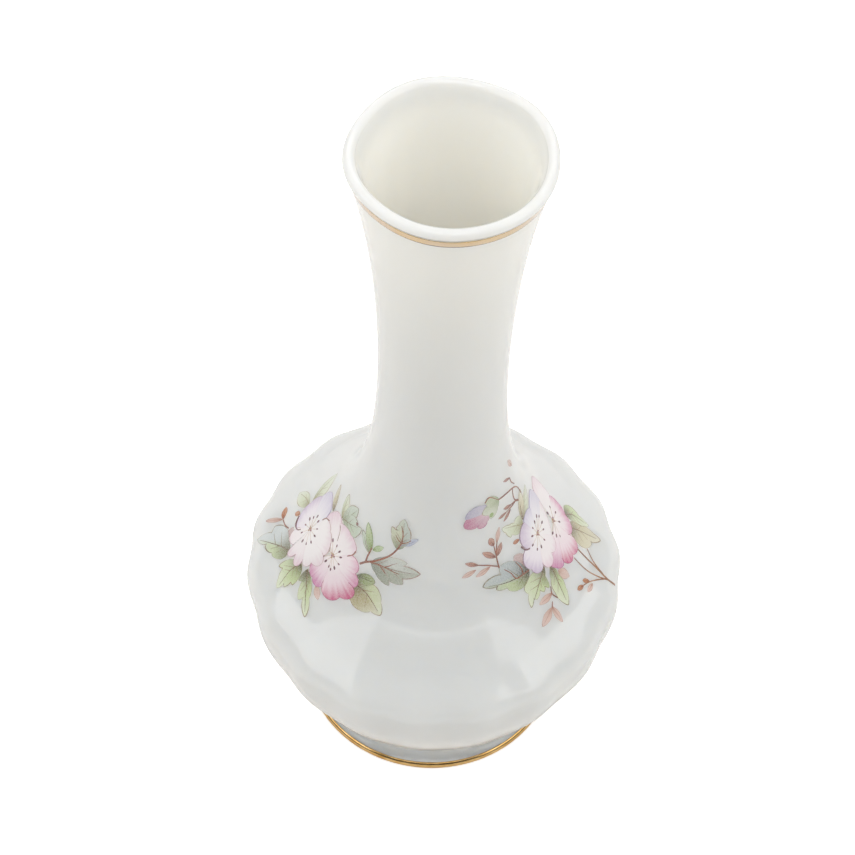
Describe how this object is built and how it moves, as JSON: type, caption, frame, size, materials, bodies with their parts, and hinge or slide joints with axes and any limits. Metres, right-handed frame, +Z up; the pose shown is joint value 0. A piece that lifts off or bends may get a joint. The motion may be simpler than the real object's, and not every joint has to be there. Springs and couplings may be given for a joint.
{
  "type": "bottle vase",
  "caption": "Slip-cast porcelain bottle vase with a rolled lip, long flared neck, lobed round belly and spread foot, gilded lines and enamelled flower sprays.",
  "frame": {"origin": "middle of the foot's resting plane", "axes": "+Z up along the vase's axis; front towards -Y, with a spray on each side of it; +X to the right seen from the front"},
  "size_m": [0.094, 0.094, 0.2],
  "materials": {
    "porcelain": "clear gloss glaze over white porcelain",
    "gilding": "burnished gold line",
    "pink_enamel": "fired on-glaze enamel, gloss",
    "mauve_enamel": "fired on-glaze enamel, gloss",
    "green_enamel": "fired on-glaze enamel, gloss",
    "brown_enamel": "fired on-glaze enamel, gloss"
  },
  "bodies": {
    "root": {"vase_body": "porcelain", "lip_gilding": "gilding", "foot_gilding": "gilding", "left_mauve_blossom": "mauve_enamel", "left_pink_blossom": "pink_enamel", "left_leaves": "green_enamel", "left_twigs": "brown_enamel", "right_mauve_blossom": "mauve_enamel", "right_pink_blossom": "pink_enamel", "right_bud": "pink_enamel", "right_leaves": "green_enamel", "right_twigs": "brown_enamel", "back_pink_blossom": "pink_enamel", "back_leaves": "green_enamel", "back_twigs": "brown_enamel"}
  },
  "joints": []
}
